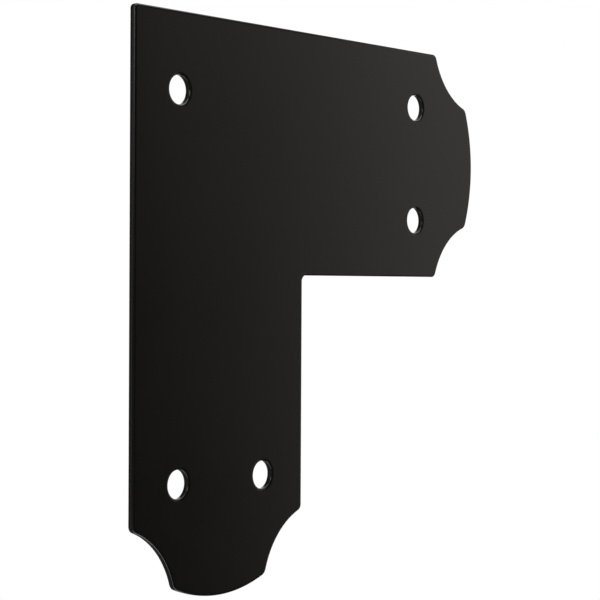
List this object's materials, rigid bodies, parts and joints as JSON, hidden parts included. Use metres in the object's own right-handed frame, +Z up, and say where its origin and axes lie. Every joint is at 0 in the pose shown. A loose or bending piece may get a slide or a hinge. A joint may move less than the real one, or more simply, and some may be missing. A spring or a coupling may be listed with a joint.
{
  "type": "l-strap bracket",
  "caption": "Flat L-shaped strap with scooped, crowned leg ends, rolled edges and round bolt holes, for joining a post and a beam.",
  "frame": {"origin": "point of the back face where the centre lines of the two legs cross", "axes": "+X along the level leg, +Z up, with the other leg hanging to -Z; +Y out of the back face, into the timber that the strap is bolted to"},
  "size_m": [0.2857, 0.0032, 0.2857],
  "materials": {
    "powder_coated_steel": "satin black powder coat"
  },
  "bodies": {
    "root": {"strap_plate": "powder_coated_steel"}
  },
  "joints": []
}
